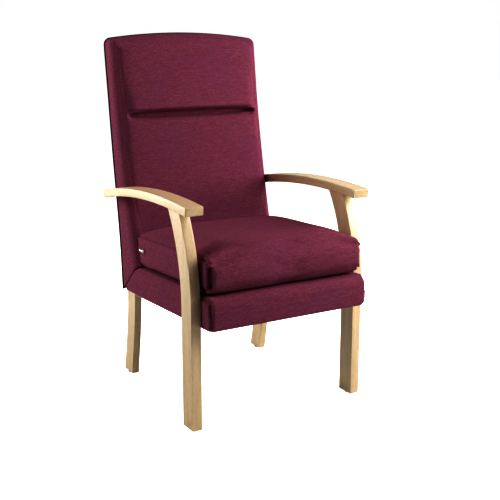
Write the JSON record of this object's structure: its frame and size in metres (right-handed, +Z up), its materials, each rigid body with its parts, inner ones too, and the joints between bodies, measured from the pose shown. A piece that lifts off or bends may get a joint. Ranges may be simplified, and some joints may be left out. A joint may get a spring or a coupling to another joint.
{
  "type": "high-back orthopaedic armchair",
  "caption": "High-back fireside armchair with a curved wooden frame, upholstered back with headrest section, and a loose boxed seat cushion on an upholstered base.",
  "frame": {"origin": "on the floor under the middle of the chair's bounding box", "axes": "+Z up, -Y is the way the sitter faces, +X is the sitter's left"},
  "size_m": [0.628, 0.7238, 1.1265],
  "materials": {
    "beech": "satin",
    "frame_timber": "matte",
    "burgundy_cloth": "matte",
    "foam": "matte",
    "webbing": "matte",
    "black_cloth": "matte",
    "zinc_steel": "satin",
    "zip_metal": "gloss",
    "dark_plastic": "matte"
  },
  "bodies": {
    "chair_frame": {"arm_bolt_left": "zinc_steel", "arm_bolt_right": "zinc_steel", "arm_dowel_left_front": "frame_timber", "arm_dowel_left_rear": "frame_timber", "arm_dowel_right_front": "frame_timber", "arm_dowel_right_rear": "frame_timber", "arm_left": "beech", "arm_right": "beech", "back_border": "burgundy_cloth", "back_foam": "foam", "back_lower_rail": "frame_timber", "back_middle_rail": "frame_timber", "back_strap_1": "webbing", "back_strap_2": "webbing", "back_strap_3": "webbing", "back_strap_4": "webbing", "back_top_rail": "frame_timber", "corner_block_front_left": "frame_timber", "corner_block_front_right": "frame_timber", "corner_block_rear_left": "frame_timber", "corner_block_rear_right": "frame_timber", "dust_cover": "black_cloth", "front_leg_left": "beech", "front_leg_right": "beech", "front_rail": "frame_timber", "glide_front_left": "dark_plastic", "glide_front_right": "dark_plastic", "glide_rear_left": "dark_plastic", "glide_rear_right": "dark_plastic", "headrest_foam": "foam", "inside_back_cover": "burgundy_cloth", "leg_bolt_left_lower": "zinc_steel", "leg_bolt_left_upper": "zinc_steel", "leg_bolt_right_lower": "zinc_steel", "leg_bolt_right_upper": "zinc_steel", "outside_back_cover": "burgundy_cloth", "rail_bolt_left": "zinc_steel", "rail_bolt_right": "zinc_steel", "rear_leg_left": "beech", "rear_leg_right": "beech", "rear_rail": "frame_timber", "seat_base_cover": "burgundy_cloth", "seat_base_foam": "foam", "seat_strap_1": "webbing", "seat_strap_2": "webbing", "seat_strap_3": "webbing", "seat_strap_4": "webbing", "seat_strap_5": "webbing", "side_rail_left": "frame_timber", "side_rail_right": "frame_timber"},
    "seat_cushion": {"cushion_cover": "burgundy_cloth", "cushion_foam": "foam", "zip_tape": "black_cloth"},
    "zip_slider": {"zip_slider": "zip_metal"},
    "zip_pull": {"zip_pull": "zip_metal"}
  },
  "joints": [
    {"name": "cushion_slide", "type": "slide", "parent": "chair_frame", "child": "seat_cushion", "axis": [0, -0.9989, 0.0469], "range_m": [0, 0.56]},
    {"name": "zip_slide", "type": "slide", "parent": "seat_cushion", "child": "zip_slider", "axis": [0, 1, 0], "range_m": [0, 0.03]},
    {"name": "zip_pull_swing", "type": "hinge", "parent": "zip_slider", "child": "zip_pull", "pos_m": [-0.26355, 0.1141, 0.455], "axis": [0, 0, 1], "range_deg": [0, 150]}
  ]
}
